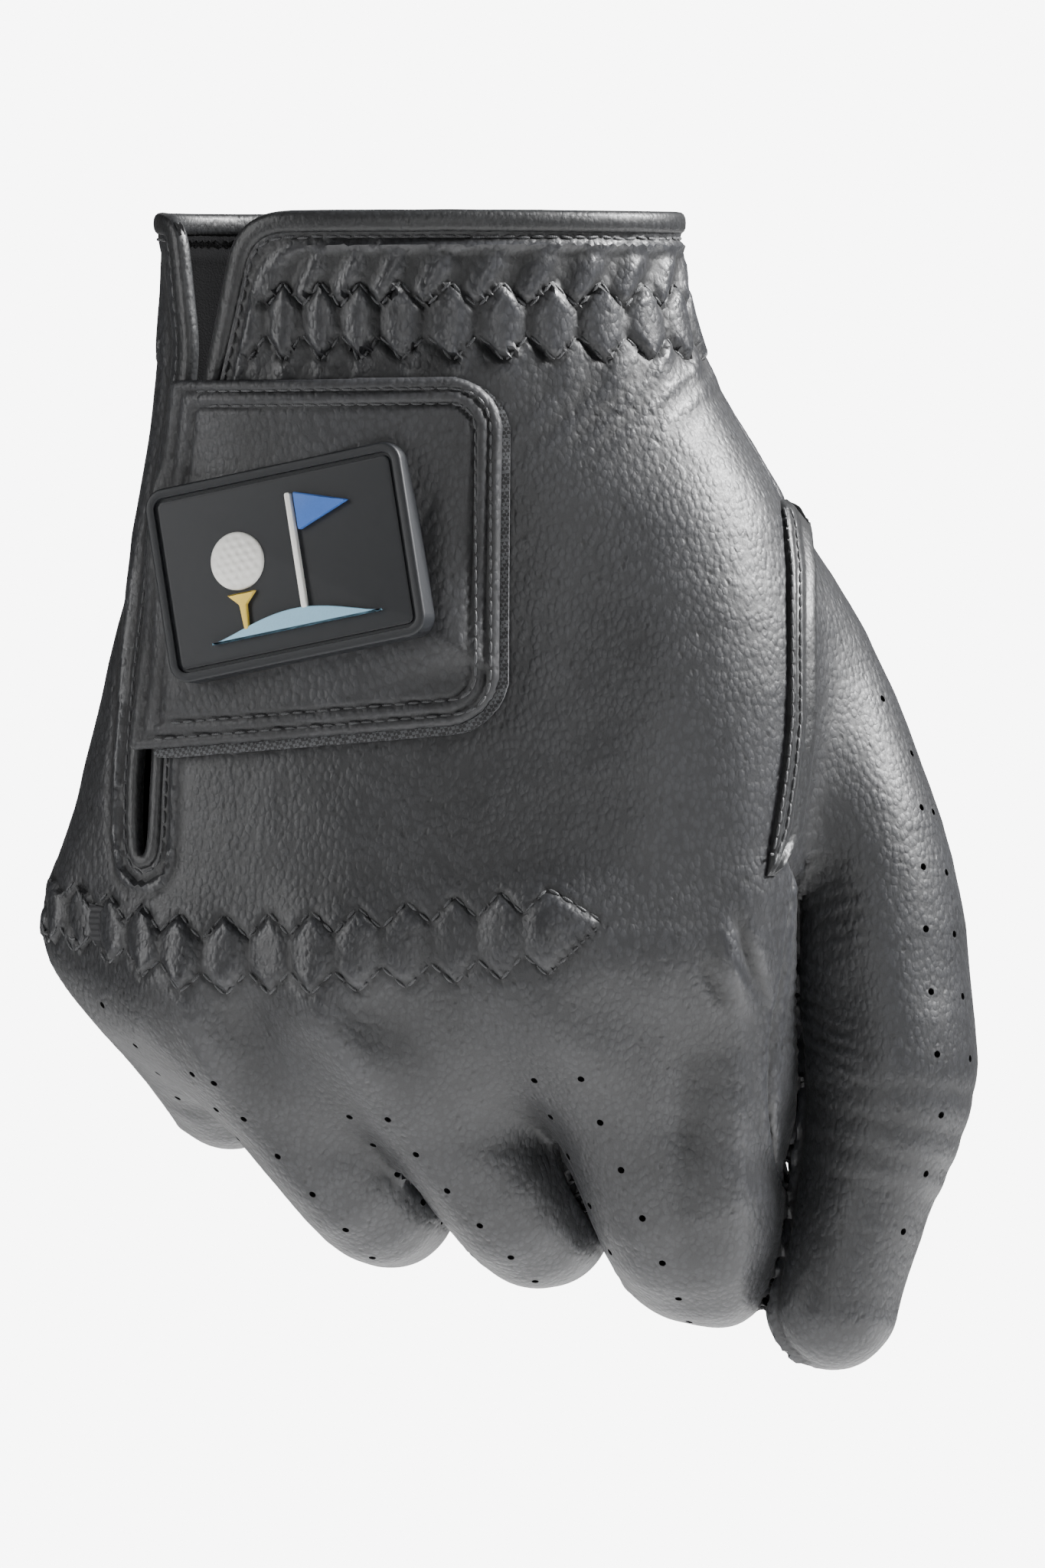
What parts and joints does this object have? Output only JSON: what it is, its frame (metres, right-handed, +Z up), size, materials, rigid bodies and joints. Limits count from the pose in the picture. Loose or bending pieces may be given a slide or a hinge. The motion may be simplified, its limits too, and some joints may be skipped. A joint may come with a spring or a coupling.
{
  "type": "golf glove",
  "caption": "Leather golf glove for a right hand, posed closed round a grip, with elasticated cuff, wrist opening and hook-and-loop closure tab.",
  "frame": {"origin": "centre of the whole glove's bounding box", "axes": "+Z up the wrist towards the cuff, the back of the hand faces -Y, the thumb is on the +X side"},
  "size_m": [0.1172, 0.0798, 0.1482],
  "materials": {
    "back_leather": "fine-grained semi-matte charcoal sheepskin",
    "palm_leather": "fine-grained semi-matte charcoal sheepskin",
    "gusset_leather": "thin charcoal leather with raw edges",
    "binding_leather": "folded charcoal leather binding, slightly glossier",
    "tab_leather": "pebbled charcoal leather, double stitched",
    "elastic_tape": "black woven elastic",
    "loop_pile": "black brushed loop pile",
    "hook_weave": "black woven hook tape",
    "badge_rubber": "satin dark slate moulded rubber",
    "emblem_white": "satin off-white moulded rubber",
    "emblem_blue": "satin royal blue moulded rubber",
    "emblem_sky": "satin sky blue moulded rubber",
    "emblem_yellow": "satin yellow moulded rubber"
  },
  "bodies": {
    "glove": {"back_panel": "back_leather", "index_back": "back_leather", "middle_back": "back_leather", "ring_back": "back_leather", "little_back": "back_leather", "thumb_back": "back_leather", "palm_panel": "palm_leather", "index_palm": "palm_leather", "middle_palm": "palm_leather", "ring_palm": "palm_leather", "little_palm": "palm_leather", "thumb_palm": "palm_leather", "gusset_index_inner": "gusset_leather", "gusset_middle_outer": "gusset_leather", "gusset_middle_inner": "gusset_leather", "gusset_ring_outer": "gusset_leather", "gusset_ring_inner": "gusset_leather", "gusset_little_outer": "gusset_leather", "cuff_binding": "binding_leather", "wrist_opening_binding": "binding_leather", "thumb_seam_strap": "back_leather", "cuff_elastic_upper": "elastic_tape", "cuff_elastic_lower": "elastic_tape", "knuckle_elastic": "elastic_tape", "loop_patch": "loop_pile"},
    "closure_tab": {"closure_tab": "tab_leather", "hook_pad": "hook_weave", "badge": "badge_rubber", "emblem_pole": "emblem_white", "emblem_flag": "emblem_blue", "emblem_green": "emblem_sky", "emblem_ball": "emblem_white", "emblem_tee": "emblem_yellow"}
  },
  "joints": [
    {"name": "tab_hinge", "type": "hinge", "parent": "glove", "child": "closure_tab", "pos_m": [-0.045, -0.0189, 0.0285], "axis": [-0.131, 0.118, -0.9843], "range_deg": [0, 90]}
  ]
}
